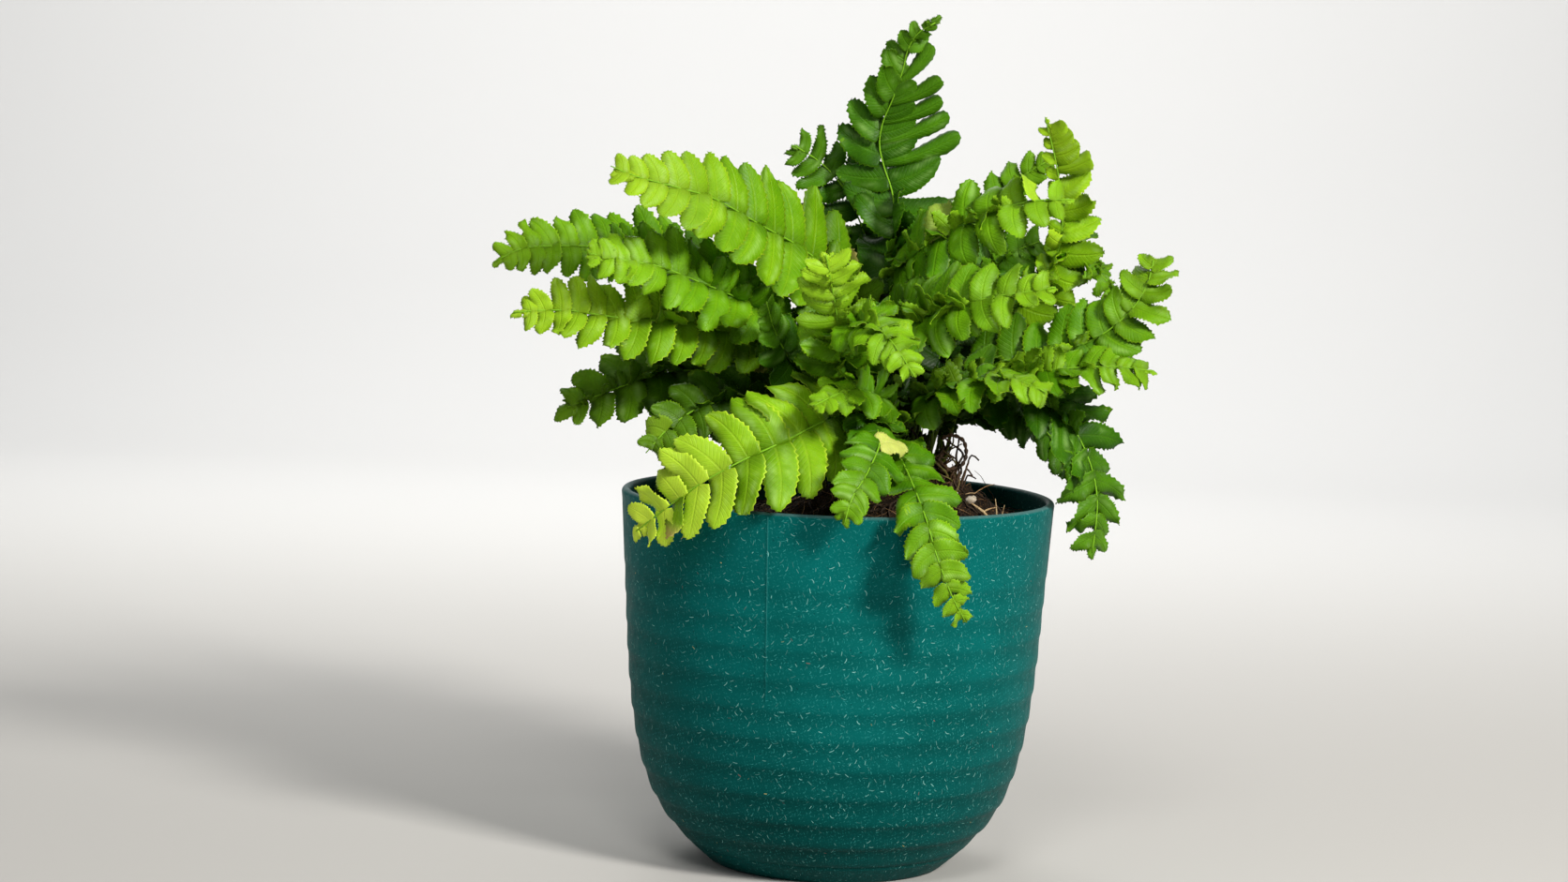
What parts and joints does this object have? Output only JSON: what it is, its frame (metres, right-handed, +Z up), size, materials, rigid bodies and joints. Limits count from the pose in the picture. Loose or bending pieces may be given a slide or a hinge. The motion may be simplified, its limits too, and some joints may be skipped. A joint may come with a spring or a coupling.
{
  "type": "potted fern",
  "caption": "A fern with arching fronds of toothed leaflets, growing in a ridged teal cover pot that stands on a flat base",
  "frame": {"origin": "the middle of the pot's base, on the surface that the pot stands on", "axes": "+Z up along the pot's axis, +X to the right as the picture shows the plant, +Y away from the viewer"},
  "size_m": [0.232, 0.1876, 0.2957],
  "materials": {
    "pot": "matte teal with short pale fibres in it",
    "soil": "dark crumbly peat with fibres",
    "old_stipes": "dark wiry dead stems",
    "frond_light": "soft satin leaf, yellow green",
    "frond_bright": "soft satin leaf, bright green",
    "frond_mid": "soft satin leaf, middle green",
    "frond_deep": "soft satin leaf, deep green",
    "frond_olive": "soft satin leaf, olive green"
  },
  "bodies": {
    "root": {"pot": "pot", "soil": "soil", "old_stipes": "old_stipes", "frond_front_left": "frond_light", "frond_drop_right": "frond_bright", "frond_drop_left": "frond_mid", "frond_front_low": "frond_light", "frond_front_centre": "frond_light", "frond_centre_curl": "frond_bright", "frond_right_mid": "frond_bright", "frond_left_near": "frond_bright", "frond_left_low": "frond_bright", "frond_left_far": "frond_mid", "frond_upper_left": "frond_light", "frond_top": "frond_deep", "frond_right_upper": "frond_light", "frond_right_upright": "frond_light", "frond_right_low": "frond_light", "frond_right_far": "frond_bright", "frond_right_droop": "frond_deep", "frond_centre_low": "frond_mid", "frond_centre_right": "frond_deep", "frond_centre_back": "frond_deep", "frond_right_thin": "frond_mid", "frond_left_dark": "frond_olive", "frond_left_bottom": "frond_olive", "frond_left_inner": "frond_deep", "frond_top_left_small": "frond_deep", "frond_droop_back": "frond_deep", "frond_back_right_up": "frond_mid", "frond_back_1": "frond_deep", "frond_back_2": "frond_mid", "frond_back_3": "frond_mid", "frond_back_4": "frond_deep", "frond_back_5": "frond_mid", "frond_back_6": "frond_deep", "frond_back_7": "frond_mid", "frond_back_8": "frond_mid", "frond_back_9": "frond_deep"}
  },
  "joints": []
}
